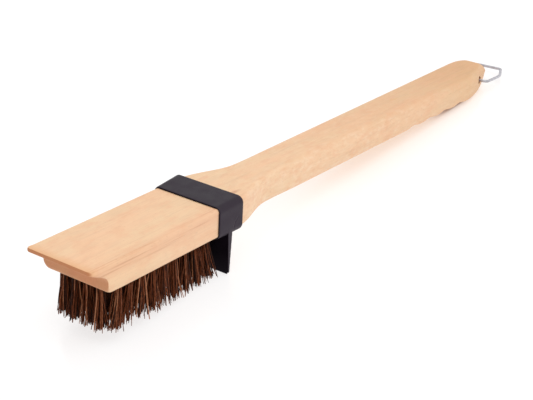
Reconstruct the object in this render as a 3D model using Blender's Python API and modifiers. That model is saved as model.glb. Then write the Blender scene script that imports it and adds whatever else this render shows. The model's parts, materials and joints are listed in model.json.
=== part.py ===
"""Grill cleaning brush: a long one-piece wooden body, drilled underneath for tufts of palm fibre, with a
black scraper collar round the back of its head and a wire loop to hang it by.

The brush is modelled straight: X runs from the head's lip to the end of the handle, Z is up, Y = 0 is the
middle, and the flat top of the head is Z = 0. An empty then lays it as it lies on a table, on the scraper's
edge and the underside of the handle, with the origin under the middle of its box."""

import math

import bmesh
import bpy
from mathutils import Matrix, Vector

MM = 0.001
GAP = 0.3 * MM  # between pieces that touch

# The board that the body is cut from, and its head
BODY_LENGTH = 479.2 * MM
BOARD = 19.2 * MM
HEAD_HALF_WIDTH = 25 * MM
HEAD_EDGE_RADIUS = 2.4 * MM
LIP_PLAN_RADIUS = 3.5 * MM

# The lip, undercut by a cove
LIP_THICKNESS = 2.4 * MM
LIP_REACH = 14.4 * MM
COVE_SLOPE = 0.42
COVE_SHOULDER = 4.4 * MM
BLOCK_FRONT_RADIUS = 2.2 * MM
BLOCK_CORNER = (4.6 * MM, 6 * MM)  # its lower front corners' radius, and how soon it fades

# The neck and the handle
NECK_START = 129 * MM
WAIST = 174 * MM
WAIST_HALF_WIDTH = 15.6 * MM
HANDLE_START = 212 * MM
HANDLE_HALF_WIDTH = 17 * MM
GRIP_HALF_WIDTH = 18.3 * MM
HANDLE_TOP_RADIUS = 7.5 * MM
HANDLE_BOTTOM_RADIUS = 8.5 * MM
GRIP_BOTTOM_RADIUS = 6.5 * MM
TIP_OFFSET = 6.8 * MM  # how far the end's tip is off the middle, to the near side
# The end's outline on each side: where it starts to turn in, and the two powers of its curve
FAR_END = (456.2 * MM, 2.8, 2.85)
NEAR_END = (435.7 * MM, 1.35, 1)
END_ROUND_ABOVE = (9 * MM, 6.3 * MM)  # along the handle, and in height
END_ROUND_BELOW = (30 * MM, 11.2 * MM)

# Finger grooves under the grip
GROOVES = 4
GROOVE_PITCH = 22 * MM
GROOVE_WIDTH = 20 * MM
GROOVE_DEPTH = 1.3 * MM
FIRST_GROOVE = 355 * MM

# Tufts, in holes drilled up into the head
ROWS = 5
COLUMNS = 10
ROW_PITCH = 9 * MM
COLUMN_PITCH = 9.65 * MM
FIRST_COLUMN = 20.6 * MM
TUFT_HOLE_RADIUS = 3 * MM
TUFT_HOLE_DEPTH = 12 * MM
TUFT_TIP_RADIUS = 4.2 * MM
TUFT_REACH = 27 * MM  # from the wood to the trimmed tips
ANCHOR_HEIGHT = 2 * MM
ANCHOR_THICKNESS = 0.6 * MM

# The scraper collar
COLLAR_FRONT = 111.8 * MM
COLLAR_LENGTH = 21.1 * MM
COLLAR_STAND_FRONT = 1.1 * MM  # its outside over the wood's surface, rising to the rear
COLLAR_STAND_REAR = 2.8 * MM
COLLAR_STAND_UNDER = 1.2 * MM
COLLAR_CORNER_FRONT = 4.2 * MM
COLLAR_CORNER_REAR = 4.4 * MM
COLLAR_CORNER_UNDER_FRONT = 4 * MM
COLLAR_CORNER_UNDER_REAR = 5.6 * MM
BLADE_HALF_WIDTH = 26.8 * MM
BLADE_FRONT = 120.2 * MM
BLADE_TOP_THICKNESS = 4 * MM
BLADE_EDGE_THICKNESS = 1.2 * MM
BLADE_LEAN = 1.2 * MM  # how far back its edge is from its root
BLADE_BOTTOM = -46.5 * MM
BLADE_CORNER = 1.2 * MM
BLADE_RIB_TOP = -15 * MM  # how far its ends run up the collar's sides

# Two pan-head screws that hold the collar up against the wood
SCREW_X = 127.6 * MM
SCREW_HALF_SPACING = 14 * MM
SCREW_SHANK_RADIUS = 1.45 * MM
SCREW_LENGTH = 12 * MM
SCREW_HEAD_RADIUS = 2.9 * MM
SCREW_HEAD_HEIGHT = 1.9 * MM
SCREW_SLOT = 0.8 * MM

# The hanging loop
WIRE_RADIUS = 1 * MM
HINGE_X = 457.5 * MM
HINGE_Z = -7.9 * MM
HINGE_HOLE_RADIUS = 1.9 * MM
LOOP_DROOP = math.radians(3)
LOOP_PIN_INNER = 8 * MM
LOOP_LEG_Y = 19.7 * MM
LOOP_SHOULDER = (24.5 * MM, 18.5 * MM)
LOOP_CORNER = (40.9 * MM, 10.3 * MM)
LOOP_SKEW = 1.3 * MM  # how far the near corner is out beyond the middle

CORNER_STEPS = 5


def clear_scene():
    for stale in list(bpy.data.objects):
        bpy.data.objects.remove(stale, do_unlink=True)


def collection(name):
    made = bpy.data.collections.new(name)
    bpy.context.scene.collection.children.link(made)
    return made


def material(name, colour, roughness, metallic=0.0):
    made = bpy.data.materials.new(name)
    made.use_nodes = True
    shader = made.node_tree.nodes["Principled BSDF"]
    shader.inputs["Base Color"].default_value = (*colour, 1)
    shader.inputs["Roughness"].default_value = roughness
    shader.inputs["Metallic"].default_value = metallic
    made.diffuse_color = (*colour, 1)
    return made


def mesh_object(name, mesh, group, look=None, smooth_below=35):
    """A mesh as a named object, shaded smooth except over its sharp edges."""
    made = bpy.data.objects.new(name, mesh)
    group.objects.link(made)
    if look:
        mesh.materials.append(look)
    mesh.shade_smooth()
    mesh.set_sharp_from_angle(angle=math.radians(smooth_below))
    return made


def as_cutter(made):
    made.hide_render = True
    made.display_type = "WIRE"
    return made


def cut(target, cutter, operation="DIFFERENCE"):
    change = target.modifiers.new(cutter.name, "BOOLEAN")
    change.operation = operation
    change.object = cutter
    change.solver = "EXACT"


def baked(made):
    """The object's modifiers applied to its mesh."""
    look = bpy.context.evaluated_depsgraph_get()
    mesh = bpy.data.meshes.new_from_object(made.evaluated_get(look))
    made.modifiers.clear()
    made.data = mesh
    return made


def ease(low, high, x):
    """0 below low, 1 above high, and a smooth rise between them."""
    t = min(max((x - low) / (high - low), 0.0), 1.0)
    return t * t * (3 - 2 * t)


def rounded_section(half_width, top, bottom, top_radius, bottom_radius, near_half_width=None):
    """A rectangle with round corners in the YZ plane, as (y, z) points, anticlockwise seen from +X."""
    near = half_width if near_half_width is None else near_half_width
    room = min(half_width + near, top - bottom) / 2 * 0.98
    upper, lower = min(top_radius, room), min(bottom_radius, room)
    corners = (
        (half_width - upper, top - upper, upper, 0),
        (-near + upper, top - upper, upper, 90),
        (-near + lower, bottom + lower, lower, 180),
        (half_width - lower, bottom + lower, lower, 270),
    )
    points = []
    for y, z, radius, start in corners:
        for step in range(CORNER_STEPS + 1):
            turn = math.radians(start + 90 * step / CORNER_STEPS)
            points.append((y + radius * math.cos(turn), z + radius * math.sin(turn)))
    return points


def loft(name, sections):
    """A closed solid through sections, each (x, [(y, z), ...]) with the same number of points."""
    shape = bmesh.new()
    rings = [[shape.verts.new((x, y, z)) for y, z in points] for x, points in sections]
    count = len(rings[0])
    for first, second in zip(rings, rings[1:]):
        for i in range(count):
            j = (i + 1) % count
            shape.faces.new((first[i], first[j], second[j], second[i]))
    shape.faces.new(reversed(rings[0]))
    shape.faces.new(rings[-1])
    bmesh.ops.recalc_face_normals(shape, faces=shape.faces)
    mesh = bpy.data.meshes.new(name)
    shape.to_mesh(mesh)
    shape.free()
    return mesh


# ---------------------------------------------------------------- wooden body


def body_half_width(x, end_shape, tip):
    """The plan outline on one side: straight head with rounded lip corners, neck, slowly widening handle,
    and a round end that closes to the tip's own offset."""
    end_start, bulge, bluntness = end_shape
    if x < LIP_PLAN_RADIUS:
        inward = 1 - x / LIP_PLAN_RADIUS
        return HEAD_HALF_WIDTH - LIP_PLAN_RADIUS * (1 - math.sqrt(1 - inward * inward))
    if x < HANDLE_START:
        fall = (HEAD_HALF_WIDTH - WAIST_HALF_WIDTH) * ease(NECK_START, WAIST, x)
        rise = (HANDLE_HALF_WIDTH - WAIST_HALF_WIDTH) * ease(WAIST, HANDLE_START, x)
        return HEAD_HALF_WIDTH - fall + rise
    along = (x - HANDLE_START) / (BODY_LENGTH - HANDLE_START)
    width = HANDLE_HALF_WIDTH + (GRIP_HALF_WIDTH - HANDLE_HALF_WIDTH) * along
    if x <= end_start:
        return width
    end = (x - end_start) / (BODY_LENGTH - end_start)
    return tip + (width - tip) * (1 - end**bulge) ** (1 / bluntness)


def groove_depth(x):
    """The finger grooves' depth at x: shallow hollows with soft ridges between them."""
    nearest = min(max(round((x - FIRST_GROOVE) / GROOVE_PITCH), 0), GROOVES - 1)
    off = min(abs(x - FIRST_GROOVE - GROOVE_PITCH * nearest), GROOVE_WIDTH / 2)
    return GROOVE_DEPTH * (1 + math.cos(2 * math.pi * off / GROOVE_WIDTH)) / 2


def end_inset(x, rounding):
    """How far the top or the bottom closes in as the handle's end rounds over."""
    along, height = rounding
    past = max(x - (BODY_LENGTH - along), 0) / along
    return height * (1 - math.sqrt(max(1 - past * past, 0)))


def body_bottom(x):
    """The underside: thin lip, cove, block front, then the board's underside with its grooves."""
    if x < LIP_REACH:
        shoulder = max(1 - (LIP_REACH - x) / COVE_SHOULDER, 0)
        turn = COVE_SHOULDER * (1 - math.sqrt(1 - shoulder * shoulder))
        return -LIP_THICKNESS - COVE_SLOPE * x - turn
    past = x - LIP_REACH
    if past < BLOCK_FRONT_RADIUS:
        inward = 1 - past / BLOCK_FRONT_RADIUS
        return -BOARD + BLOCK_FRONT_RADIUS * (1 - math.sqrt(1 - inward * inward))
    return -BOARD + groove_depth(x) + end_inset(x, END_ROUND_BELOW)


def body_stations():
    """Where the body's sections are taken: closer where its outline turns faster."""
    lip = [LIP_PLAN_RADIUS * (1 - math.cos(math.pi / 2 * i / 4)) for i in range(5)]
    cove = [LIP_REACH - COVE_SHOULDER * (1 - i / 5) ** 1.5 for i in range(6)]
    cove[-1] -= 0.05 * MM
    block = [LIP_REACH + BLOCK_FRONT_RADIUS * (1 - math.cos(math.pi / 2 * i / 4)) for i in range(5)]
    neck = [NECK_START + (HANDLE_START - NECK_START) * i / 18 for i in range(19)]
    handle = [(HANDLE_START + FIRST_GROOVE) / 2, FIRST_GROOVE - GROOVE_PITCH]
    across = [GROOVE_WIDTH / 2 * i / 3 for i in range(-3, 4)]
    grooves = [FIRST_GROOVE + GROOVE_PITCH * n + off for n in range(GROOVES) for off in across]
    after = FIRST_GROOVE + GROOVE_PITCH * (GROOVES - 0.5)
    end = [BODY_LENGTH - (BODY_LENGTH - after) * (1 - i / 15) ** 1.5 for i in range(16)]
    end[-1] -= 0.05 * MM
    return lip + cove + block + neck + handle + grooves + end


def body_section(x):
    softer = ease(NECK_START, HANDLE_START, x)
    top_radius = HEAD_EDGE_RADIUS + (HANDLE_TOP_RADIUS - HEAD_EDGE_RADIUS) * softer
    later = ease(NECK_START + 2 * MM, HANDLE_START + 4 * MM, x)
    bottom_radius = HEAD_EDGE_RADIUS + (HANDLE_BOTTOM_RADIUS - HEAD_EDGE_RADIUS) * later
    in_grip = ease(FIRST_GROOVE - GROOVE_PITCH, FIRST_GROOVE + GROOVE_PITCH, x)
    bottom_radius += (GRIP_BOTTOM_RADIUS - HANDLE_BOTTOM_RADIUS) * in_grip
    corner, fade = BLOCK_CORNER
    at_block = ease(LIP_REACH - COVE_SHOULDER, LIP_REACH, x) * (1 - ease(LIP_REACH, LIP_REACH + fade, x))
    bottom_radius += (corner - HEAD_EDGE_RADIUS) * at_block
    top = -end_inset(x, END_ROUND_ABOVE)
    far, near = body_half_width(x, FAR_END, -TIP_OFFSET), body_half_width(x, NEAR_END, TIP_OFFSET)
    return rounded_section(far, top, body_bottom(x), top_radius, bottom_radius, near)


def tuft_places():
    """Each tuft's row and column number and its place: the first column has one tuft fewer, staggered."""
    for column in range(COLUMNS):
        rows = ROWS if column else ROWS - 1
        for row in range(rows):
            y = ROW_PITCH * (row - (rows - 1) / 2)
            yield row + 1, column + 1, FIRST_COLUMN + COLUMN_PITCH * column, y


def drill(shape, x, y, z, radius, depth, sides=10, axis="Z"):
    """Adds a cylinder of the given length, centred at x, y, z, to a bmesh."""
    turn = Matrix.Rotation(math.pi / 2, 4, "X") if axis == "Y" else Matrix.Identity(4)
    bmesh.ops.create_cone(
        shape,
        cap_ends=True,
        segments=sides,
        radius1=radius,
        radius2=radius,
        depth=depth,
        matrix=Matrix.Translation((x, y, z)) @ turn,
    )


def drilled(name, cutters, holes):
    """A cutter made of many drills, where holes is a list of arguments for drill()."""
    shape = bmesh.new()
    for hole in holes:
        drill(shape, **hole)
    mesh = bpy.data.meshes.new(name)
    shape.to_mesh(mesh)
    shape.free()
    return as_cutter(mesh_object(name, mesh, cutters))


def make_body(group, cutters, look):
    body = mesh_object(
        "wooden_body", loft("wooden_body", [(x, body_section(x)) for x in body_stations()]), group, look
    )
    over = 1 * MM  # a drill starts this far outside the wood
    tufts = [
        dict(
            x=x,
            y=y,
            z=-BOARD + (TUFT_HOLE_DEPTH - over) / 2,
            radius=TUFT_HOLE_RADIUS,
            depth=TUFT_HOLE_DEPTH + over,
        )
        for _, _, x, y in tuft_places()
    ]
    screws = [
        dict(
            x=SCREW_X,
            y=side * SCREW_HALF_SPACING,
            z=-BOARD + (SCREW_LENGTH - over) / 2,
            radius=SCREW_SHANK_RADIUS + GAP,
            depth=SCREW_LENGTH + over,
        )
        for side in (-1, 1)
    ]
    hinge = [
        dict(
            x=HINGE_X,
            y=0,
            z=HINGE_Z,
            radius=HINGE_HOLE_RADIUS,
            depth=2 * HEAD_HALF_WIDTH,
            sides=16,
            axis="Y",
        )
    ]
    for name, holes in (("tuft_holes", tufts), ("pilot_holes", screws), ("loop_hole", hinge)):
        cut(body, drilled(name, cutters, holes))
    return body


# ---------------------------------------------------------------- tufts


def turned(name, profile, sides, group):
    """A solid turned about Z from a profile of (radius, z) points, top to bottom."""
    mesh = bpy.data.meshes.new(name)
    mesh.from_pydata([(r, 0, z) for r, z in profile], [(i, i + 1) for i in range(len(profile) - 1)], [])
    made = bpy.data.objects.new(name, mesh)
    group.objects.link(made)
    turn = made.modifiers.new("turn", "SCREW")
    turn.steps = sides
    turn.render_steps = sides
    turn.use_merge_vertices = True
    turn.merge_threshold = 0.00001
    return made


def make_tufts(group, cutters, look):
    """One tuft of folded fibre over its flat wire anchor, copied into every hole."""
    hidden = TUFT_HOLE_DEPTH - ANCHOR_HEIGHT - GAP
    held = TUFT_HOLE_RADIUS - GAP
    profile = [
        (0, hidden),
        (held * 0.8, hidden),
        (held, hidden - 1.5 * MM),
        (held, -2 * MM),
        (TUFT_TIP_RADIUS, -TUFT_REACH + 1 * MM),
        (TUFT_TIP_RADIUS * 0.9, -TUFT_REACH),
        (0, -TUFT_REACH),
    ]
    pattern = turned("tuft_pattern", profile, 9, cutters)
    bpy.ops.mesh.primitive_cube_add(size=1)
    anchor = bpy.context.object
    anchor.name = "anchor_pattern"
    anchor.data.transform(Matrix.Diagonal((ANCHOR_THICKNESS, held * 1.7, ANCHOR_HEIGHT * 1.5, 1)))
    anchor.data.transform(Matrix.Translation((0, 0, hidden + ANCHOR_HEIGHT * 0.25)))
    for old in anchor.users_collection:
        old.objects.unlink(anchor)
    cutters.objects.link(anchor)
    as_cutter(anchor)
    cut(pattern, anchor, "UNION")
    baked(pattern)
    as_cutter(pattern)
    pattern.data.materials.clear()
    pattern.data.materials.append(look)
    pattern.data.shade_smooth()
    pattern.data.set_sharp_from_angle(angle=math.radians(40))
    tufts = []
    for row, column, x, y in tuft_places():
        tuft = bpy.data.objects.new(f"tuft_r{row}_c{column:02d}", pattern.data)
        group.objects.link(tuft)
        tuft.location = (x, y, -BOARD)
        tufts.append(tuft)
    return tufts


# ---------------------------------------------------------------- scraper collar and screws


def prism(name, outline, half_width, group):
    """A side outline of (x, z) points carried across Y on both sides of the middle."""
    shape = bmesh.new()
    near = [shape.verts.new((x, -half_width, z)) for x, z in outline]
    face = shape.faces.new(near)
    moved = bmesh.ops.extrude_face_region(shape, geom=[face])
    across = [v for v in moved["geom"] if isinstance(v, bmesh.types.BMVert)]
    bmesh.ops.translate(shape, vec=(0, 2 * half_width, 0), verts=across)
    bmesh.ops.recalc_face_normals(shape, faces=shape.faces)
    mesh = bpy.data.meshes.new(name)
    shape.to_mesh(mesh)
    shape.free()
    return mesh_object(name, mesh, group)


def collar_section(x, inset):
    """The collar's outline at x: close to the wood in front, standing further off it at the rear."""
    along = (x - COLLAR_FRONT) / COLLAR_LENGTH
    stand = COLLAR_STAND_FRONT + (COLLAR_STAND_REAR - COLLAR_STAND_FRONT) * along - inset
    corner = COLLAR_CORNER_FRONT + (COLLAR_CORNER_REAR - COLLAR_CORNER_FRONT) * along
    under = COLLAR_CORNER_UNDER_FRONT + (COLLAR_CORNER_UNDER_REAR - COLLAR_CORNER_UNDER_FRONT) * along
    bottom = -BOARD - COLLAR_STAND_UNDER + inset
    return rounded_section(HEAD_HALF_WIDTH + stand, stand, bottom, corner, under)


def collar_stations():
    """Each section's place and how far its edge is rounded in."""
    rear = COLLAR_FRONT + COLLAR_LENGTH
    edge = 0.4 * MM
    yield COLLAR_FRONT, edge / 2
    yield COLLAR_FRONT + edge, 0
    yield rear - 2 * edge, 0
    yield rear, edge


def make_collar(group, cutters, look):
    """A band round the head with the scraper blade under it, moulded in one piece."""
    rear = COLLAR_FRONT + COLLAR_LENGTH
    outside = [(x, collar_section(x, inset)) for x, inset in collar_stations()]
    collar = mesh_object("scraper_collar", loft("scraper_collar", outside), group, look)

    root = -BOARD - COLLAR_STAND_UNDER
    blade_outline = [
        (BLADE_FRONT, BLADE_RIB_TOP),
        (BLADE_FRONT, root),
        (BLADE_FRONT + BLADE_LEAN, BLADE_BOTTOM),
        (BLADE_FRONT + BLADE_LEAN + BLADE_EDGE_THICKNESS, BLADE_BOTTOM),
        (BLADE_FRONT + BLADE_TOP_THICKNESS, root),
        (BLADE_FRONT + BLADE_TOP_THICKNESS, BLADE_RIB_TOP),
    ]
    blade = prism("blade", blade_outline, BLADE_HALF_WIDTH, cutters)
    weights = blade.data.attributes.new("bevel_weight_edge", "FLOAT", "EDGE")
    for corner in blade.data.edges:
        ends = [blade.data.vertices[v].co for v in corner.vertices]
        low = all(abs(end.z - BLADE_BOTTOM) < 0.01 * MM for end in ends)
        along_x = abs(ends[0].y - ends[1].y) < 0.01 * MM
        weights.data[corner.index].value = 1.0 if low and along_x else 0.0
    rounding = blade.modifiers.new("corners", "BEVEL")
    rounding.limit_method = "WEIGHT"
    rounding.width = BLADE_CORNER
    rounding.segments = 3
    cut(collar, as_cutter(blade), "UNION")

    opening = [
        (
            x,
            rounded_section(
                HEAD_HALF_WIDTH + GAP,
                GAP,
                -BOARD - GAP,
                HEAD_EDGE_RADIUS + GAP,
                HEAD_EDGE_RADIUS + GAP,
            ),
        )
        for x in (COLLAR_FRONT - 2 * MM, rear + 2 * MM)
    ]
    cut(collar, as_cutter(mesh_object("collar_opening", loft("collar_opening", opening), cutters)))
    holes = [
        dict(
            x=SCREW_X,
            y=side * SCREW_HALF_SPACING,
            z=-BOARD,
            radius=SCREW_SHANK_RADIUS + GAP,
            depth=4 * COLLAR_STAND_REAR,
        )
        for side in (-1, 1)
    ]
    cut(collar, drilled("collar_screw_holes", cutters, holes))
    return collar


def make_screw(name, y, group, cutters, look):
    """A pan-head wood screw, driven up from below, with a slot across its head."""
    seat = -COLLAR_STAND_UNDER - GAP
    profile = [
        (0, SCREW_LENGTH - 1 * MM),
        (SCREW_SHANK_RADIUS * 0.9, SCREW_LENGTH - 3.5 * MM),
        (SCREW_SHANK_RADIUS, 0),
        (SCREW_SHANK_RADIUS, seat),
        (SCREW_HEAD_RADIUS, seat),
        (SCREW_HEAD_RADIUS, seat - 0.5 * SCREW_HEAD_HEIGHT),
        (SCREW_HEAD_RADIUS * 0.75, seat - 0.9 * SCREW_HEAD_HEIGHT),
        (0, seat - SCREW_HEAD_HEIGHT),
    ]
    screw = turned(name, profile, 14, group)
    bpy.ops.mesh.primitive_cube_add(size=1)
    slot = bpy.context.object
    slot.name = name + "_slot"
    slot.data.transform(Matrix.Diagonal((SCREW_SLOT, 4 * SCREW_HEAD_RADIUS, SCREW_HEAD_HEIGHT, 1)))
    slot.data.transform(Matrix.Translation((0, 0, seat - SCREW_HEAD_HEIGHT)))
    for old in slot.users_collection:
        old.objects.unlink(slot)
    cutters.objects.link(slot)
    cut(screw, as_cutter(slot))
    baked(screw)
    screw.data.materials.clear()
    screw.data.materials.append(look)
    screw.data.shade_smooth()
    screw.data.set_sharp_from_angle(angle=math.radians(30))
    screw.location = (SCREW_X, y, -BOARD)
    return screw


# ---------------------------------------------------------------- hanging loop


def filleted(corners, steps=6):
    """A path through corners, each (point, radius), with an arc in place of every corner that has one."""
    path = []
    for i, (here, radius) in enumerate(corners):
        here = Vector(here)
        if radius == 0:
            path.append(here)
            continue
        back = (Vector(corners[i - 1][0]) - here).normalized()
        on = (Vector(corners[i + 1][0]) - here).normalized()
        half = back.angle(on) / 2
        centre = here + (back + on).normalized() * radius / math.sin(half)
        start = here + back * radius / math.tan(half) - centre
        stop = here + on * radius / math.tan(half) - centre
        for step in range(steps + 1):
            path.append(centre + start.slerp(stop, step / steps).normalized() * radius)
    return path


def make_loop(group, look):
    """Bent spring wire whose two ends turn in to sit in the hole across the handle."""
    shoulder_x, shoulder_y = LOOP_SHOULDER
    corner_x, corner_y = LOOP_CORNER
    near, far = (
        [
            ((0, side * LOOP_PIN_INNER, 0), 0),
            ((0, side * LOOP_LEG_Y, 0), 2.6 * MM),
            ((shoulder_x, side * shoulder_y, 0), 18 * MM),
            ((corner_x - side * LOOP_SKEW, side * corner_y, 0), 3.4 * MM),
        ]
        for side in (-1, 1)
    )
    path = filleted(near + far[::-1])
    wire = bpy.data.curves.new("hanging_loop", "CURVE")
    wire.dimensions = "3D"
    wire.bevel_depth = WIRE_RADIUS
    wire.bevel_resolution = 2
    wire.use_fill_caps = True
    spline = wire.splines.new("POLY")
    spline.points.add(len(path) - 1)
    for point, place in zip(spline.points, path):
        point.co = (*place, 1)
    wire.materials.append(look)
    loop = bpy.data.objects.new("hanging_loop", wire)
    group.objects.link(loop)
    loop.location = (HINGE_X, 0, HINGE_Z)
    loop.rotation_euler = (0, LOOP_DROOP, 0)
    return loop


# ---------------------------------------------------------------- assembly


def rest_tilt():
    """The tilt at which a table touches the blade's rear edge and the underside of the handle's end."""
    edge_x = BLADE_FRONT + BLADE_LEAN + BLADE_EDGE_THICKNESS
    under = [x for x in body_stations() if x > HANDLE_START]
    return min(math.atan2(body_bottom(x) - BLADE_BOTTOM, x - edge_x) for x in under)


def lay_on_table(pieces, cutters, group):
    """Parents everything to an empty that tilts it to rest, with the origin under the middle of its box."""
    lie = bpy.data.objects.new("lying_on_table", None)
    group.objects.link(lie)
    lie.rotation_euler = (0, rest_tilt(), 0)
    for piece in pieces + cutters:
        piece.parent = lie
    bpy.context.view_layer.update()
    look = bpy.context.evaluated_depsgraph_get()
    points = []
    for piece in pieces:
        mesh = bpy.data.meshes.new_from_object(piece.evaluated_get(look))
        points += [piece.matrix_world @ vertex.co for vertex in mesh.vertices]
        bpy.data.meshes.remove(mesh)
    middle = (min(p.x for p in points) + max(p.x for p in points)) / 2
    lie.location = (-middle, 0, -min(p.z for p in points))


def make_brush():
    clear_scene()
    group = collection("grill_cleaning_brush")
    cutters = collection("cutters")
    wood = material("pale_hardwood", (0.86, 0.60, 0.37), 0.5)
    resin = material("black_resin", (0.045, 0.042, 0.05), 0.5)
    fibre = material("palm_fibre", (0.11, 0.045, 0.02), 0.7)
    steel = material("bright_wire", (0.55, 0.55, 0.56), 0.3, 1.0)
    zinc = material("zinc_screw", (0.5, 0.5, 0.5), 0.4, 1.0)

    pieces = [make_body(group, cutters, wood), make_collar(group, cutters, resin)]
    pieces += make_tufts(group, cutters, fibre)
    for side, y in (("near", -SCREW_HALF_SPACING), ("far", SCREW_HALF_SPACING)):
        pieces.append(make_screw("collar_screw_" + side, y, group, cutters, zinc))
    pieces.append(make_loop(group, steel))

    shown = [cutter for cutter in cutters.objects if not cutter.name.endswith("_slot")]
    lay_on_table(pieces, shown, group)


make_brush()
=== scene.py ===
"""The looks of the grill cleaning brush: fine wood, moulded collar, single bristles, bent wire and screws.

Every piece is made in the brush's own straight frame, in metres: X runs from the head's lip to the handle's
end, Z is up, the flat top of the head is Z = 0, and -Y is the near side. LYING turns that frame into the
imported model's, where the brush lies on its scraper and the end of its handle."""

import json
import math
import random

import bmesh
import bpy
from mathutils import Matrix, Vector


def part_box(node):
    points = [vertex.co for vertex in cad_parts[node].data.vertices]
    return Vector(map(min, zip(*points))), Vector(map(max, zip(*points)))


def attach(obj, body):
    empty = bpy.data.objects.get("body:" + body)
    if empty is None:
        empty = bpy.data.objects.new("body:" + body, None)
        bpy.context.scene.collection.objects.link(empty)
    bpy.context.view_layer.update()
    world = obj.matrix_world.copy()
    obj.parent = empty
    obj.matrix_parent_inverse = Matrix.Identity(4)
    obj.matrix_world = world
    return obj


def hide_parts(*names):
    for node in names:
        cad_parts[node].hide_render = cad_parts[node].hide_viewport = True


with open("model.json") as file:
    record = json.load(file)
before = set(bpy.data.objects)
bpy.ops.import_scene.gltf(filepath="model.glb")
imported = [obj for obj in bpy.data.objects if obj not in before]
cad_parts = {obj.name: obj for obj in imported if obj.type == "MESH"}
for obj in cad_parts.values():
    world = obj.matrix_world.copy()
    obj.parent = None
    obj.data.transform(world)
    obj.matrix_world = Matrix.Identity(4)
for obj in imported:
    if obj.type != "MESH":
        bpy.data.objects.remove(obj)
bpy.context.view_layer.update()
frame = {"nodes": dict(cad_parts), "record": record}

MM = 0.001

# The board that the body is cut from, and its head
BODY_LENGTH = 479.2 * MM
BOARD = 19.2 * MM
HEAD_HALF_WIDTH = 25 * MM
HEAD_EDGE_RADIUS = 2.4 * MM
LIP_PLAN_RADIUS = 3.5 * MM
LIP_THICKNESS = 2.4 * MM
LIP_REACH = 14.4 * MM
LIP_EASING = 0.5 * MM  # sanded round its front edge
COVE_SLOPE = 0.42
COVE_SHOULDER = 4.4 * MM
BLOCK_FRONT_RADIUS = 3.8 * MM
BLOCK_CORNER = (3.6 * MM, 6 * MM)  # its lower front corners' radius, and how soon it fades
COVE_EDGE_RADIUS = 1 * MM

# The neck and the handle
NECK_START = 133 * MM
NECK_SOFTENING = (2 * MM, 4 * MM)  # how much later than the neck its lower edges start and stop softening
WAIST = 174 * MM
WAIST_HALF_WIDTH = 15.6 * MM
HANDLE_START = 212 * MM
HANDLE_HALF_WIDTH = 17 * MM
GRIP_HALF_WIDTH = 18.3 * MM
HANDLE_TOP_RADIUS = 7.5 * MM
HANDLE_BOTTOM_RADIUS = 5 * MM
TIP_OFFSET = 6.8 * MM  # how far the end's tip is off the middle, to the near side
FAR_END = (456.2 * MM, 2.8, 2.85)  # where each side of the end turns in, and its curve's two powers
NEAR_END = (435.7 * MM, 1.35, 1)
END_ROUND_ABOVE = (9 * MM, 6.3 * MM)  # along the handle, and in height
END_ROUND_BELOW = (30 * MM, 11.2 * MM)
GROOVES = 4
GROOVE_PITCH = 22.3 * MM
GROOVE_WIDTH = 21 * MM
GROOVE_DEPTH = 1.3 * MM
FIRST_GROOVE = 356.5 * MM

# Tufts and their fibres
TUFT_HOLE_RADIUS = 3 * MM
TUFT_HOLE_DEPTH = 12 * MM
TUFT_SEED = 7
TUFT_SCATTER = 0.6  # how far a tuft's lean strays, in millimetres, as a standard deviation
TIP_LEVEL = -46.5 * MM
MID_REACH = 1.5 * MM  # how much longer the fibres are between the head's front and the blade
FIBRES = 60
FIBRE_SIDES = 5
FIBRE_RINGS = 7
FIBRE_RADIUS = (0.25 * MM, 0.52 * MM)
FIBRE_CLEARANCE = 0.35 * MM
FIBRE_START = 3 * MM  # how far up in its hole a fibre begins
FIBRE_TAPER = 0.35
FIBRE_SPREAD = (0.4, 2.4)  # millimetres outward at the tip, for a fibre at the tuft's rim
FIBRE_SCATTER = 1.6  # millimetres at the tip, as a standard deviation
STRAY_SCATTER = 3.0  # the same for the share of fibres that stray
STRAY_SHARE = 0.08
TIP_UNEVENNESS = 1.4
FIBRE_BOW = 0.5
FIBRE_RIPPLE = 0.2
FIBRE_SHADES = ((0.02, 0.2), (0.05, 0.35), (0.35, 0.6), (0.45, 0.65), (0.7, 0.95))  # from dark to pale

# The scraper collar
COLLAR_FRONT = 111.8 * MM
COLLAR_LENGTH = 21.1 * MM
COLLAR_STAND_FRONT = 1.1 * MM
COLLAR_STAND_REAR = 2.8 * MM
COLLAR_STAND_FAR = 1.7 * MM  # at the rear of its far side, as it sits slightly askew
COLLAR_STAND_UNDER = 1.2 * MM
COLLAR_CORNER_FRONT = 4.2 * MM
COLLAR_CORNER_REAR = 4.4 * MM
COLLAR_CORNER_UNDER_FRONT = 4 * MM
COLLAR_CORNER_UNDER_REAR = 5.6 * MM
COLLAR_EDGE = (1 * MM, 0.5 * MM)  # its front edge's rounding, along and inward
COLLAR_GAP = 0.3 * MM
BLADE_HALF_WIDTH = 26.8 * MM
BLADE_FRONT = 120.2 * MM
BLADE_TOP_THICKNESS = 4 * MM
BLADE_EDGE_THICKNESS = 1.2 * MM
BLADE_LEAN = 1.2 * MM  # how far back its edge is from its root
BLADE_BOTTOM = -46.5 * MM
BLADE_CORNER = 1.2 * MM
BLADE_RIB_TOP = -15 * MM
CREASE_LINE = ((128.4, -8.8), (126.1, -11.4), (124.8, -14.2), (124.2, -17.6), (123.9, -20.6))
CREASE_WIDTH = 0.7
CREASE_MIDDLE = 27.9 * MM  # from the brush's middle
CREASE_REACH = 1 * MM  # to each side of that
COLLAR_VOXEL = 0.3 * MM

# The screws under the collar
SCREW_HEAD_RADIUS = 2.9 * MM
SCREW_HEAD_HEIGHT = 1.9 * MM
SCREW_SHANK_RADIUS = 1.45 * MM
SCREW_SLOT = (0.8 * MM, 8 * MM, 1.9 * MM)
SCREW_NODES = ("collar_screw_near", "collar_screw_far")

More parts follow.
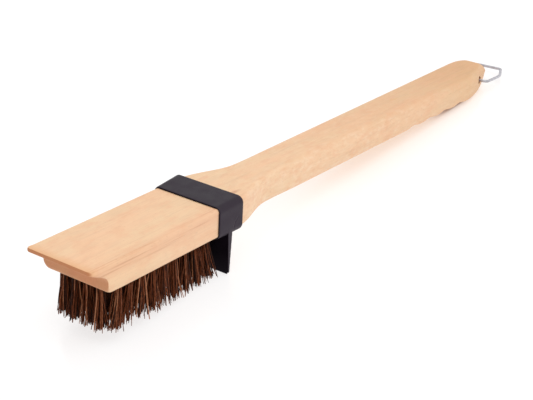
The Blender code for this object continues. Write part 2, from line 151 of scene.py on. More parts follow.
# The hanging loop, about its hinge
WIRE_RADIUS = 1.12 * MM
HINGE = Vector((457.5, 0, -7.9)) * MM
HINGE_HOLE_RADIUS = 3 * MM
LOOP_DROOP = math.radians(3)
LOOP_PIN_INNER = 8 * MM
LOOP_LEG_Y = 19.95 * MM
LOOP_SHOULDER = (24.5 * MM, 18.8 * MM)
LOOP_CORNER = (40.9 * MM, 10.3 * MM)
LOOP_BENDS = (4 * MM, 18 * MM, 3.4 * MM)  # radii where it leaves the hole, at its shoulder and at its corner
LOOP_SKEW = 1.3 * MM

CORNER_STEPS = 10

# The camera, by what it looks at in the brush's frame: azimuth, elevation and roll in degrees
CAMERA_ANGLES = (35.376, 24.0, 2.872)
CAMERA_TARGET = Vector((143.35, -37.38, 0)) * MM
CAMERA_DISTANCE = 871.5 * MM
CAMERA_LENS = 96.32
CAMERA_SENSOR = 36

# The studio
FLOOR_SIZE = 30
FLOOR_LEVEL = -0.05 * MM
ROOM_LIGHT = {"From Min": -0.8, "From Max": 0.2, "To Min": 0.45, "To Max": 0.92}  # along the brush
LAMP_PLACE = (-0.25, -0.4, 1.0)
LAMP_TARGET = (-0.15, 0, 0.03)
LAMP_SIZE = 0.8
LAMP_POWER = 3.2


def brush_frame():
    """The matrix from the brush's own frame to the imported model's, by the mount on the blade's edge."""
    edge = next(m for m in frame["record"]["mounts"] if m["name"] == "scraper_edge")
    down = Vector(edge["axis"])
    tilt = math.atan2(-down.x, -down.z)
    middle_of_edge = Vector((BLADE_FRONT + BLADE_LEAN + BLADE_EDGE_THICKNESS / 2, 0, BLADE_BOTTOM))
    turn = Matrix.Rotation(tilt, 4, "Y")
    return Matrix.Translation(Vector(edge["pos_m"])) @ turn @ Matrix.Translation(-middle_of_edge)


LYING = brush_frame()


# ---------------------------------------------------------------- camera and light


def make_camera():
    """A camera set by what it looks at, in the brush's frame."""
    azimuth, elevation, roll = (math.radians(a) for a in CAMERA_ANGLES)
    flat = math.cos(elevation)
    look = Vector((math.cos(azimuth) * flat, math.sin(azimuth) * flat, -math.sin(elevation)))
    right = look.cross(Vector((0, 0, 1))).normalized()
    up = right.cross(look)
    tilted_right = right * math.cos(roll) + up * math.sin(roll)
    tilted_up = up * math.cos(roll) - right * math.sin(roll)
    place = Matrix.Translation(CAMERA_TARGET - look * CAMERA_DISTANCE)
    turn = Matrix((tilted_right, tilted_up, -look)).transposed().to_4x4()
    camera = bpy.data.objects.new("camera", bpy.data.cameras.new("camera"))
    bpy.context.scene.collection.objects.link(camera)
    camera.data.sensor_width = CAMERA_SENSOR
    camera.data.lens = CAMERA_LENS
    camera.data.clip_start = 0.01
    camera.data.clip_end = 50
    camera.matrix_world = LYING @ place @ turn
    bpy.context.scene.camera = camera


def make_lamp():
    """A broad square lamp over the head."""
    light = bpy.data.lights.new("lamp", "AREA")
    light.shape = "RECTANGLE"
    light.size = light.size_y = LAMP_SIZE
    light.energy = LAMP_POWER
    lamp = bpy.data.objects.new("lamp", light)
    bpy.context.scene.collection.objects.link(lamp)
    lamp.location = LAMP_PLACE
    lamp.rotation_euler = (Vector(LAMP_TARGET) - Vector(LAMP_PLACE)).to_track_quat("-Z", "Y").to_euler()


def make_studio():
    """A white floor that gives off light of its own, with painted shadows round the handle, in a white room
    that is dimmer towards the head.
    """
    bpy.ops.mesh.primitive_plane_add(size=FLOOR_SIZE)
    floor = bpy.context.object
    floor.name = "floor"
    floor.location.z = FLOOR_LEVEL
    floor.data.materials.append(floor_material())

    room = bpy.data.worlds.new("white_room")
    room.use_nodes = True
    nodes, links = room.node_tree.nodes, room.node_tree.links
    direction = nodes.new("ShaderNodeTexCoord")
    apart = nodes.new("ShaderNodeSeparateXYZ")
    strength = nodes.new("ShaderNodeMapRange")
    strength.interpolation_type = "SMOOTHSTEP"
    for name, value in ROOM_LIGHT.items():
        strength.inputs[name].default_value = value
    links.new(direction.outputs["Generated"], apart.inputs["Vector"])
    links.new(apart.outputs["X"], strength.inputs["Value"])
    links.new(strength.outputs["Result"], nodes["Background"].inputs["Strength"])
    nodes["Background"].inputs["Color"].default_value = (1, 1, 1, 1)
    bpy.context.scene.world = room
    bpy.context.scene.view_settings.view_transform = "Standard"


# ---------------------------------------------------------------- materials

# Small stains in the wood: each one's place and reach in millimetres, its strength and its colour
KNOTS = (
    ((139, -15.5, 0), (7, 2.2, 3), 0.5, (0.50, 0.20, 0.11)),
    ((351, 2.3, 0), (9, 3, 4), 0.4, (0.80, 0.44, 0.17)),
)


class Nodes:
    """A material's node tree, with short calls for the nodes used here."""

    def __init__(self, name, roughness, metallic=0.0):
        self.material = bpy.data.materials.new(name)
        self.material.use_nodes = True
        self.tree = self.material.node_tree
        self.shader = self.tree.nodes["Principled BSDF"]
        self.shader.inputs["Roughness"].default_value = roughness
        self.shader.inputs["Metallic"].default_value = metallic

    def node(self, kind, inputs=(), **settings):
        made = self.tree.nodes.new(kind)
        for key, value in settings.items():
            setattr(made, key, value)
        for key, value in dict(inputs).items():
            self.put(made.inputs[key], value)
        return made

    def put(self, socket, value):
        if isinstance(value, bpy.types.NodeSocket):
            self.tree.links.new(value, socket)
        else:
            socket.default_value = value

    def place(self, stretch=(1, 1, 1), shift=(0, 0, 0)):
        """The piece's own coordinates, in millimetres before the stretch."""
        coordinates = self.node("ShaderNodeTexCoord").outputs["Object"]
        scale = [s / MM for s in stretch]
        mapping = self.node("ShaderNodeMapping", {"Vector": coordinates, "Scale": scale, "Location": shift})
        return mapping.outputs["Vector"]

    def noise(self, vector, scale, detail=2.0, roughness=0.5):
        inputs = {"Vector": vector, "Scale": scale, "Detail": detail, "Roughness": roughness}
        return self.node("ShaderNodeTexNoise", inputs).outputs["Fac"]

    def maths(self, operation, a, b=0.0, clamp=False):
        made = self.node("ShaderNodeMath", operation=operation, use_clamp=clamp)
        self.put(made.inputs[0], a)
        self.put(made.inputs[1], b)
        return made.outputs[0]

    def vectors(self, operation, *values):
        return self.node("ShaderNodeVectorMath", enumerate(values), operation=operation)

    def between(self, value, low, high, out_low=0.0, out_high=1.0):
        inputs = {"Value": value, "From Min": low, "From Max": high, "To Min": out_low, "To Max": out_high}
        return self.node("ShaderNodeMapRange", inputs, interpolation_type="SMOOTHSTEP").outputs["Result"]

    def mix(self, share, a, b, blend="MIX"):
        made = self.node("ShaderNodeMix", data_type="RGBA", blend_type=blend)
        self.put(made.inputs["Factor"], share)
        self.put(made.inputs["A"], a if isinstance(a, bpy.types.NodeSocket) else (*a, 1))
        self.put(made.inputs["B"], b if isinstance(b, bpy.types.NodeSocket) else (*b, 1))
        return made.outputs["Result"]

    def bump(self, height, distance, strength=1.0):
        made = self.node("ShaderNodeBump", {"Height": height, "Distance": distance, "Strength": strength})
        self.put(self.shader.inputs["Normal"], made.outputs["Normal"])

    def set(self, name, value):
        self.put(self.shader.inputs[name], value)


def floor_material():
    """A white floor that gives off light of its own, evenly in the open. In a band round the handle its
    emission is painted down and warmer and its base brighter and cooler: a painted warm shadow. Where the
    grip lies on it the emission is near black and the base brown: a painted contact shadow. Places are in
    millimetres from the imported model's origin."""
    n = Nodes("white_floor_painted_shadows", 0.22)
    x, y, _ = n.node("ShaderNodeSeparateXYZ", {"Vector": n.place()}).outputs
    off = n.maths("ABSOLUTE", y)
    along = n.maths("MULTIPLY", n.between(x, -70, 60), n.between(x, 330, 240))
    # painted shadow: in a band round the handle the floor's emission is dimmed and warmed and its base
    # raised, standing in for the handle's soft warm shadow
    painted_shadow_band = n.maths("MULTIPLY", n.between(off, 58, 6), along)
    at_grip = n.maths("MULTIPLY", n.between(x, 135, 178), n.between(x, 203, 193))
    # painted contact shadow: where the grip lies on the floor its emission is near black and its base brown
    painted_contact_shadow = n.maths("MULTIPLY", n.between(off, 14, 10), at_grip)
    floor_emission_with_painted_shadow = n.mix(painted_shadow_band, (0.775, 0.750, 0.742), (0.455, 0.405, 0.375))
    floor_base_with_painted_shadow = n.mix(painted_shadow_band, (0.275, 0.297, 0.310), (0.605, 0.655, 0.685))
    n.set("Base Color", n.mix(painted_contact_shadow, floor_base_with_painted_shadow, (0.460, 0.300, 0.220)))
    n.set("Emission Color", n.mix(painted_contact_shadow, floor_emission_with_painted_shadow, (0.030, 0.012, 0.006)))
    n.set("Emission Strength", 1)
    n.set("Specular IOR Level", 0.4)
    return n.material


def wood_material():
    """Pale flat-sawn hardwood: mottled tone, fibres, a reddish streaked edge, flecks, darker end grain that
    is partly painted shade, and painted shade towards the handle's end.
    """
    n = Nodes("pale_hardwood", 0.5)
    apart = n.node("ShaderNodeSeparateXYZ", {"Vector": n.place()})
    x, y, z = apart.outputs
    facing = n.node("ShaderNodeSeparateXYZ", {"Vector": n.node("ShaderNodeTexCoord").outputs["Normal"]})
    on_side = n.between(n.maths("ABSOLUTE", facing.outputs["Y"]), 0.5, 0.9)
    turned = n.between(n.maths("ABSOLUTE", facing.outputs["Y"]), 0.15, 0.75)

    hue = n.noise(n.place((0.012, 0.05, 0.05), (7, 3, 1)), 1.0, 2.0)
    colour = n.mix(n.between(hue, 0.35, 0.65), (0.905, 0.620, 0.382), (0.930, 0.590, 0.362))
    grey = n.noise(n.place((0.05, 0.16, 0.16), (2, 8, 4)), 1.0, 3.0, 0.6)
    colour = n.mix(n.between(grey, 0.42, 0.70, 0.0, 0.16), colour, (0.66, 0.45, 0.29))
    paler = n.maths("MULTIPLY", turned, n.between(x, 20, 80, 0.0, 0.34))
    colour = n.mix(paler, colour, (0.925, 0.675, 0.460))
    # painted shade: the wood is darkened and warmed towards the handle's end, less on its sides, and darkened
    # again over the last stretch, standing in for the light falling off there
    painted_falloff_shade = n.maths("MULTIPLY", n.between(x, 150, 480), n.between(turned, 0, 1, 1, 0.6))
    colour = n.mix(painted_falloff_shade, colour, (0.905, 0.82, 0.73), "MULTIPLY")
    colour = n.mix(n.between(x, 380, 450), colour, (0.955, 0.925, 0.87), "MULTIPLY")

    fibre = n.noise(n.place((0.035, 1.1, 1.1)), 1.0, 3.0, 0.6)
    blotch = n.noise(n.place((0.07, 0.13, 0.13), (3, 5, 2)), 1.0, 4.0, 0.6)
    colour = n.mix(n.between(blotch, 0.46, 0.66, 0.0, 0.40), colour, (0.86, 0.47, 0.27))
    on_handle = n.maths("MULTIPLY", n.between(x, 128, 150), n.between(x, 420, 270, 0.3, 1.0))
    on_handle = n.maths("MULTIPLY", on_handle, n.between(turned, 0, 1, 0.45, 1.0))
    flame = n.noise(n.place((0.15, 0.30, 0.30), (6, 1, 3)), 1.0, 3.0, 0.65)
    for far_end, share, tint in ((0.66, 0.42, (0.97, 0.73, 0.53)), (0.34, 0.30, (0.84, 0.46, 0.25))):
        flames = n.maths("MULTIPLY", n.between(flame, 0.50, far_end), n.maths("MULTIPLY", on_handle, share))
        colour = n.mix(flames, colour, tint)
    colour = n.mix(n.between(fibre, 0.40, 0.68, 0.0, 0.10), colour, (0.70, 0.42, 0.25))

    across, down = (n.maths("ABSOLUTE", n.maths("ADD", *pair)) for pair in ((y, 23.5), (z, 3.5)))
    from_edge = n.maths("ADD", across, down)
    by_edge = n.maths("MULTIPLY", n.between(from_edge, 9, 2), n.between(x, 132, 118))
    plain_streak = n.noise(n.place((0.013, 0.40, 0.40), (1, 2, 9)), 1.0, 2.0, 0.55)
    red = n.noise(n.place((0.012, 0.62, 0.62), (4, 2, 6)), 1.0, 2.0, 0.6)
    colour = n.mix(n.between(plain_streak, 0.55, 0.75, 0.0, 0.20), colour, (0.66, 0.36, 0.21))
    colour = n.mix(n.maths("MULTIPLY", by_edge, 0.34), colour, (0.80, 0.40, 0.23))
    streaks = n.maths("MULTIPLY", n.between(red, 0.50, 0.64), by_edge)
    colour = n.mix(n.maths("MULTIPLY", streaks, 0.5), colour, (0.60, 0.27, 0.15))

    fleck = n.noise(n.place((0.26, 0.6, 0.95), (3, 1, 5)), 1.0, 3.0, 0.6)
    flecks = n.maths("MULTIPLY", n.between(fleck, 0.56, 0.68), on_side)
    colour = n.mix(n.maths("MULTIPLY", flecks, 0.20), colour, (0.62, 0.42, 0.28))

    pore = n.noise(n.place((0.25, 3.2, 3.2)), 1.0, 1.0)
    pores = n.between(pore, 0.66, 0.77)
    colour = n.mix(n.maths("MULTIPLY", pores, 0.28), colour, (0.42, 0.22, 0.12))

    for place, reach, share, tint in KNOTS:
        away = n.vectors("SUBTRACT", n.place(), place).outputs["Vector"]
        squeezed = n.vectors("DIVIDE", away, reach).outputs["Vector"]
        length = n.vectors("LENGTH", squeezed).outputs["Value"]
        ragged = n.maths("ADD", length, n.between(grey, 0.3, 0.7, -0.35, 0.35))
        colour = n.mix(n.between(ragged, 1.0, 0.1, 0.0, share), colour, tint)

    colour = n.mix(n.between(x, 8, 0, 0.0, 0.7), colour, (0.83, 0.45, 0.22))
    # darker and redder on faces that look along the brush: partly the wood's own end grain, partly painted
    # shade on those faces
    end_grain_and_painted_shade = n.between(n.maths("ABSOLUTE", facing.outputs["X"]), 0.35, 0.95)
    colour = n.mix(n.maths("MULTIPLY", end_grain_and_painted_shade, 0.8), colour, (0.62, 0.35, 0.21), "MULTIPLY")
    n.set("Base Color", colour)

    n.set("Roughness", n.between(fibre, 0.3, 0.7, 0.48, 0.62))
    height = n.maths("SUBTRACT", n.maths("MULTIPLY", fibre, 0.5), pores)
    n.bump(height, 0.00006, 0.6)
    n.set("Specular IOR Level", 0.35)
    return n.material


def resin_material():
    """Black moulded resin: a fine satin grain and faint flow marks, with painted light making its sides
    slightly paler and painted shade darkening its faces that look along the brush.
    """
    n = Nodes("black_resin", 0.5)
    grain = n.noise(n.place((1, 1, 1)), 2.6, 2.0, 0.6)
    cloud = n.noise(n.place((0.12, 0.12, 0.12)), 1.0, 3.0)
    facing = n.node("ShaderNodeSeparateXYZ", {"Vector": n.node("ShaderNodeTexCoord").outputs["Normal"]})
    painted_shade_on_end_faces = n.between(n.maths("ABSOLUTE", facing.outputs["X"]), 0.3, 0.9)
    colour = n.mix(n.between(cloud, 0.35, 0.65), (0.0070, 0.0028, 0.0085), (0.0130, 0.0070, 0.0145))
    colour = n.mix(n.between(grain, 0.55, 0.75, 0.0, 0.4), colour, (0.026, 0.016, 0.029))
    # painted light: faces turned to either side are made slightly paler, standing in for the light on them
    sideways = n.between(n.maths("ABSOLUTE", facing.outputs["Y"]), 0.3, 0.9, 0.0, 0.4)
    colour = n.mix(sideways, colour, (0.024, 0.016, 0.026))
    # painted shade: faces that look along the brush, the blade's front behind the bristles among them, are
    # darkened, and their specular turned down
    n.set("Base Color", n.mix(painted_shade_on_end_faces, colour, (0.42, 0.40, 0.42), "MULTIPLY"))
    n.set("Roughness", n.between(cloud, 0.3, 0.7, 0.46, 0.60))
    n.set("Specular IOR Level", n.between(painted_shade_on_end_faces, 0, 1, 0.42, 0.05))
    n.set("Specular Tint", (1.0, 0.88, 1.0, 1.0))
    n.bump(grain, 0.00004, 0.7)
    return n.material


def fibre_material():
    """Palm fibre: each stalk its own brown, streaked along its length, with painted shade darkening it
    towards the root and in the tuft's middle.
    """
    n = Nodes("palm_fibre", 0.62)
    shade = n.node("ShaderNodeAttribute", attribute_name="shade").outputs["Fac"]
    along = n.node("ShaderNodeAttribute", attribute_name="along").outputs["Fac"]
    streak = n.noise(n.place((2.2, 2.2, 0.22)), 1.0, 3.0, 0.6)
    tone = n.maths("ADD", shade, n.between(streak, 0.3, 0.7, -0.2, 0.2), clamp=True)
    colour = n.mix(n.between(tone, 0.0, 0.5), (0.018, 0.0045, 0.002), (0.150, 0.036, 0.010))
    colour = n.mix(n.between(tone, 0.45, 0.95), colour, (0.44, 0.185, 0.092))
    # painted shade: fibres darken to near black towards their roots, in the shade under the head
    colour = n.mix(n.between(along, 0.0, 0.3, 0.45, 0.0), colour, (0.012, 0.005, 0.003))
    n.set("Base Color", colour)
    n.set("Roughness", n.between(streak, 0.3, 0.7, 0.5, 0.7))
    n.bump(streak, 0.00008, 0.6)
    n.set("Specular IOR Level", 0.12)
    return n.material


def wire_material():
    """Bright drawn wire with faint die lines and a little tarnish."""
    n = Nodes("bright_wire", 0.5, 1.0)
    tarnish = n.noise(n.place((0.3, 0.3, 0.3)), 1.0, 3.0)
    lines = n.noise(n.place((1.5, 1.5, 6)), 1.0, 2.0)
    n.set("Base Color", n.mix(n.between(tarnish, 0.35, 0.7), (0.66, 0.65, 0.69), (0.50, 0.49, 0.52)))
    n.set("Roughness", n.between(lines, 0.3, 0.7, 0.45, 0.62))
    n.bump(lines, 0.00001, 0.4)
    return n.material


def screw_material():
    """Zinc plate: pale, slightly mottled."""
    n = Nodes("zinc_plate", 0.36, 1.0)
    mottle = n.noise(n.place((1, 1, 1)), 0.8, 4.0, 0.65)
    n.set("Base Color", n.mix(n.between(mottle, 0.35, 0.65), (0.60, 0.60, 0.58), (0.48, 0.49, 0.51)))
    n.set("Roughness", n.between(mottle, 0.3, 0.7, 0.28, 0.46))
    n.bump(mottle, 0.00002, 0.4)
    return n.material


# ---------------------------------------------------------------- mesh helpers


def finish_piece(name, mesh, look, body, nodes, smooth_below):
    """Puts a mesh in the scene, on its CAD body, in place of its CAD nodes."""
    piece = bpy.data.objects.new(name, mesh)
    bpy.context.scene.collection.objects.link(piece)
    mesh.materials.clear()
    mesh.materials.append(look)
    mesh.shade_smooth()
    mesh.set_sharp_from_angle(angle=math.radians(smooth_below))
    piece.matrix_world = LYING
    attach(piece, body)
    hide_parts(*nodes)
    return piece


def new_mesh(name, shape):
    mesh = bpy.data.meshes.new(name)
    shape.to_mesh(mesh)
    shape.free()
    return mesh


def with_modifiers(mesh, *changes):
    """The mesh after modifiers, each given as (type, settings)."""
    scratch = bpy.data.objects.new("scratch", mesh)
    bpy.context.scene.collection.objects.link(scratch)
    for kind, settings in changes:
        change = scratch.modifiers.new(kind.lower(), kind)
        for key, value in settings.items():
            setattr(change, key, value)
    depsgraph = bpy.context.evaluated_depsgraph_get()
    result = bpy.data.meshes.new_from_object(scratch.evaluated_get(depsgraph))
    bpy.data.objects.remove(scratch)
    return result


def boolean(mesh, other, operation):
    """The mesh after an exact union with another, or after it is cut by it."""
    tool = bpy.data.objects.new("tool", other)
    bpy.context.scene.collection.objects.link(tool)
    result = with_modifiers(mesh, ("BOOLEAN", {"operation": operation, "solver": "EXACT", "object": tool}))
    bpy.data.objects.remove(tool)
    return result


def drills(name, holes):
    """One mesh of many cylinders, each (place, radius, length, axis, sides)."""
    shape = bmesh.new()
    for place, radius, length, axis, sides in holes:
        turn = Matrix.Rotation(math.pi / 2, 4, "X") if axis == "Y" else Matrix.Identity(4)
        bmesh.ops.create_cone(
            shape, cap_ends=True, segments=sides, radius1=radius, radius2=radius, depth=length,
            matrix=Matrix.Translation(place) @ turn,
        )
    return new_mesh(name, shape)


def ease(low, high, x):
    """0 below low, 1 above high, and a smooth rise between them."""
    t = min(max((x - low) / (high - low), 0.0), 1.0)
    return t * t * (3 - 2 * t)


def ramp(low, high, x):
    """0 at low and 1 at high, straight between them."""
    return min(max((x - low) / (high - low), 0), 1)


def steps(start, stop, count):
    """Even places from start up to stop, without stop itself."""
    return [start + (stop - start) * i / count for i in range(count)]


def rounded_section(far, near, top, bottom, top_radius, bottom_radius):
    """A rectangle with round corners in the YZ plane, from y = far to y = -near, as (y, z) points."""
    room = min(far + near, top - bottom) / 2 * 0.98
    upper, lower = min(top_radius, room), min(bottom_radius, room)
    corners = (
        (far - upper, top - upper, upper, 0),
        (-near + upper, top - upper, upper, 90),
        (-near + lower, bottom + lower, lower, 180),
        (far - lower, bottom + lower, lower, 270),
    )
    points = []
    for y, z, radius, start in corners:
        for step in range(CORNER_STEPS + 1):
            turn = math.radians(start + 90 * step / CORNER_STEPS)
            points.append((y + radius * math.cos(turn), z + radius * math.sin(turn)))
    return points


def loft(name, sections):
    """A closed solid through sections, each (x, [(y, z), ...]) with the same number of points."""
    shape = bmesh.new()
    rings = [[shape.verts.new((x, y, z)) for y, z in points] for x, points in sections]
    count = len(rings[0])
    for first, second in zip(rings, rings[1:]):
        for i in range(count):
            j = (i + 1) % count
            shape.faces.new((first[i], first[j], second[j], second[i]))
    shape.faces.new(reversed(rings[0]))
    shape.faces.new(rings[-1])
    bmesh.ops.recalc_face_normals(shape, faces=shape.faces)
    return new_mesh(name, shape)


# ---------------------------------------------------------------- wooden body


def body_half_width(x, end_shape, tip):
    """The plan outline on one side: straight head with rounded lip corners, neck, slowly widening handle,
    and a round end that closes to the tip's own offset."""
    end_start, bulge, bluntness = end_shape
    if x < LIP_PLAN_RADIUS:
        inward = 1 - x / LIP_PLAN_RADIUS
        return HEAD_HALF_WIDTH - LIP_PLAN_RADIUS * (1 - math.sqrt(1 - inward * inward))
    if x < HANDLE_START:
        fall = (HEAD_HALF_WIDTH - WAIST_HALF_WIDTH) * ease(NECK_START, WAIST, x)
        rise = (HANDLE_HALF_WIDTH - WAIST_HALF_WIDTH) * ease(WAIST, HANDLE_START, x)
        return HEAD_HALF_WIDTH - fall + rise
    along = (x - HANDLE_START) / (BODY_LENGTH - HANDLE_START)
    width = HANDLE_HALF_WIDTH + (GRIP_HALF_WIDTH - HANDLE_HALF_WIDTH) * along
    if x <= end_start:
        return width
    end = (x - end_start) / (BODY_LENGTH - end_start)
    return tip + (width - tip) * (1 - end**bulge) ** (1 / bluntness)


def groove_depth(x):
    """The finger grooves' depth at x: shallow hollows with soft ridges between them."""
    nearest = min(max(round((x - FIRST_GROOVE) / GROOVE_PITCH), 0), GROOVES - 1)
    off = min(abs(x - FIRST_GROOVE - GROOVE_PITCH * nearest), GROOVE_WIDTH / 2)
    return GROOVE_DEPTH * (1 + math.cos(2 * math.pi * off / GROOVE_WIDTH)) / 2


def end_inset(x, rounding):
    """How far the top or the bottom closes in as the handle's end rounds over."""
    along, height = rounding
    past = max(x - (BODY_LENGTH - along), 0) / along
    return height * (1 - math.sqrt(max(1 - past * past, 0)))


def lip_easing(x):
    """How far the lip's front edge is rounded in."""
    inward = max(1 - x / LIP_EASING, 0)
    return LIP_EASING * (1 - math.sqrt(1 - inward * inward))


def body_bottom(x):
    """The underside: thin lip, cove, block front, then the board's underside with its grooves."""
    if x < LIP_REACH:
        shoulder = max(1 - (LIP_REACH - x) / COVE_SHOULDER, 0)
        turn = COVE_SHOULDER * (1 - math.sqrt(1 - shoulder * shoulder))
        return -LIP_THICKNESS - COVE_SLOPE * x - turn + lip_easing(x)
    past = x - LIP_REACH
    if past < BLOCK_FRONT_RADIUS:
        inward = 1 - past / BLOCK_FRONT_RADIUS
        return -BOARD + BLOCK_FRONT_RADIUS * (1 - math.sqrt(1 - inward * inward))
    return -BOARD + groove_depth(x) + end_inset(x, END_ROUND_BELOW)


def quarter(start, length, count):
    """Places that crowd towards start, for a quarter round that begins there."""
    return [start + length * (1 - math.cos(math.pi / 2 * i / count)) for i in range(count)]


def body_stations():
    """Where the body's sections are taken: closer where its outline turns faster."""
    lip = quarter(0, LIP_EASING, 4) + quarter(LIP_EASING, LIP_PLAN_RADIUS, 10)
    flat = steps(LIP_EASING + LIP_PLAN_RADIUS, LIP_REACH - COVE_SHOULDER, 3)
    cove = [LIP_REACH - COVE_SHOULDER * (1 - i / 12) ** 1.5 for i in range(12)]
    block = [LIP_REACH - 0.02 * MM] + quarter(LIP_REACH, BLOCK_FRONT_RADIUS, 8)
    head = steps(LIP_REACH + BLOCK_FRONT_RADIUS, NECK_START, 12)
    neck = steps(NECK_START, HANDLE_START, 40)
    handle = steps(HANDLE_START, FIRST_GROOVE - GROOVE_PITCH, 12)
    first = FIRST_GROOVE - GROOVE_PITCH / 2
    after = first + GROOVE_PITCH * GROOVES
    lead = steps(FIRST_GROOVE - GROOVE_PITCH, first, 4)
    grooves = steps(first, after, 14 * GROOVES)
    end = [BODY_LENGTH - (BODY_LENGTH - after) * (1 - i / 32) ** 1.7 for i in range(33)]
    end[-1] -= 0.01 * MM
    return lip + flat + cove + block + head + neck + handle + lead + grooves + end


def body_section(x):
    """The body's outline at x, with soft edges on the handle and crisper ones on the head."""
    softer = ease(NECK_START, HANDLE_START, x)
    top_radius = HEAD_EDGE_RADIUS + (HANDLE_TOP_RADIUS - HEAD_EDGE_RADIUS) * softer
    starts_later, stops_later = NECK_SOFTENING
    softer_below = ease(NECK_START + starts_later, HANDLE_START + stops_later, x)
    bottom_radius = HEAD_EDGE_RADIUS + (HANDLE_BOTTOM_RADIUS - HEAD_EDGE_RADIUS) * softer_below
    corner, fade = BLOCK_CORNER
    if x < LIP_REACH:
        bottom_radius = COVE_EDGE_RADIUS
    else:
        bottom_radius += (corner - HEAD_EDGE_RADIUS) * (1 - ease(LIP_REACH, LIP_REACH + fade, x))
    top = -end_inset(x, END_ROUND_ABOVE) - lip_easing(x)
    far, near = body_half_width(x, FAR_END, -TIP_OFFSET), body_half_width(x, NEAR_END, TIP_OFFSET)
    return rounded_section(far, near, top, body_bottom(x), top_radius, bottom_radius)


def under_wood(node):
    """The point on the wood's underside, in the brush's frame, at the middle of a CAD node."""
    low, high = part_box(node)
    middle = LYING.inverted() @ ((low + high) / 2)
    return Vector((middle.x, middle.y, -BOARD))


def tuft_places():
    """Each tuft's node and the point where it leaves the wood."""
    return [(node, under_wood(node)) for node in sorted(frame["nodes"]) if node.startswith("tuft_")]


def make_body(look):
    mesh = loft("wood", [(x, body_section(x)) for x in body_stations()])
    over = 1 * MM  # a drill starts this far outside the wood
    lift = Vector((0, 0, (TUFT_HOLE_DEPTH - over) / 2))
    holes = [(p + lift, TUFT_HOLE_RADIUS, TUFT_HOLE_DEPTH + over, "Z", 20) for _, p in tuft_places()]
    holes.append((HINGE, HINGE_HOLE_RADIUS, 2 * HEAD_HALF_WIDTH, "Y", 28))
    mesh = boolean(mesh, drills("holes", holes), "DIFFERENCE")
    return finish_piece("wooden_body_fine", mesh, look, "brush", ["wooden_body"], 32)


# ---------------------------------------------------------------- scraper collar


def collar_section(x, inset):
    """The collar's outline at x: close to the wood in front, standing further off it at the rear."""
    along = (x - COLLAR_FRONT) / COLLAR_LENGTH
    stand = COLLAR_STAND_FRONT + (COLLAR_STAND_REAR - COLLAR_STAND_FRONT) * along - inset
    corner = COLLAR_CORNER_FRONT + (COLLAR_CORNER_REAR - COLLAR_CORNER_FRONT) * along
    near = HEAD_HALF_WIDTH + stand
    far = near - (COLLAR_STAND_REAR - COLLAR_STAND_FAR) * along
    lower = COLLAR_CORNER_UNDER_FRONT + (COLLAR_CORNER_UNDER_REAR - COLLAR_CORNER_UNDER_FRONT) * along
    return rounded_section(far, near, stand, -BOARD - COLLAR_STAND_UNDER + inset, corner, lower)


def extruded(outline, half_width):
    """A side outline of (x, z) points carried across Y on both sides of the middle."""
    shape = bmesh.new()
    near = [shape.verts.new((x, -half_width, z)) for x, z in outline]
    moved = bmesh.ops.extrude_face_region(shape, geom=[shape.faces.new(near)])
    across = [v for v in moved["geom"] if isinstance(v, bmesh.types.BMVert)]
    bmesh.ops.translate(shape, vec=(0, 2 * half_width, 0), verts=across)
    bmesh.ops.recalc_face_normals(shape, faces=shape.faces)
    return shape


def make_blade():
    """The blade, thinning and leaning back to its edge, with the rib by which it joins the band."""
    root = -BOARD - COLLAR_STAND_UNDER
    outline = [
        (BLADE_FRONT, BLADE_RIB_TOP),
        (BLADE_FRONT, root),
        (BLADE_FRONT + BLADE_LEAN, BLADE_BOTTOM),
        (BLADE_FRONT + BLADE_LEAN + BLADE_EDGE_THICKNESS, BLADE_BOTTOM),
        (BLADE_FRONT + BLADE_TOP_THICKNESS, root),
        (BLADE_FRONT + BLADE_TOP_THICKNESS, BLADE_RIB_TOP),
    ]
    shape = extruded(outline, BLADE_HALF_WIDTH)
    corners = [
        e for e in shape.edges
        if all(abs(v.co.z - BLADE_BOTTOM) < 0.01 * MM for v in e.verts)
        and abs(e.verts[0].co.y - e.verts[1].co.y) < 0.01 * MM
    ]
    bmesh.ops.bevel(shape, geom=corners, offset=BLADE_CORNER, segments=8, affect="EDGES")
    return new_mesh("blade", shape)


def crease(side):
    """The shallow crease down the collar's side, where the back of the blade runs up into it."""
    front = [(x * MM, z * MM) for x, z in CREASE_LINE]
    back = [((x + CREASE_WIDTH) * MM, z * MM) for x, z in reversed(CREASE_LINE)]
    shape = extruded(front + back, CREASE_REACH)
    bmesh.ops.translate(shape, vec=(0, side * CREASE_MIDDLE, 0), verts=shape.verts)
    return new_mesh("crease", shape)


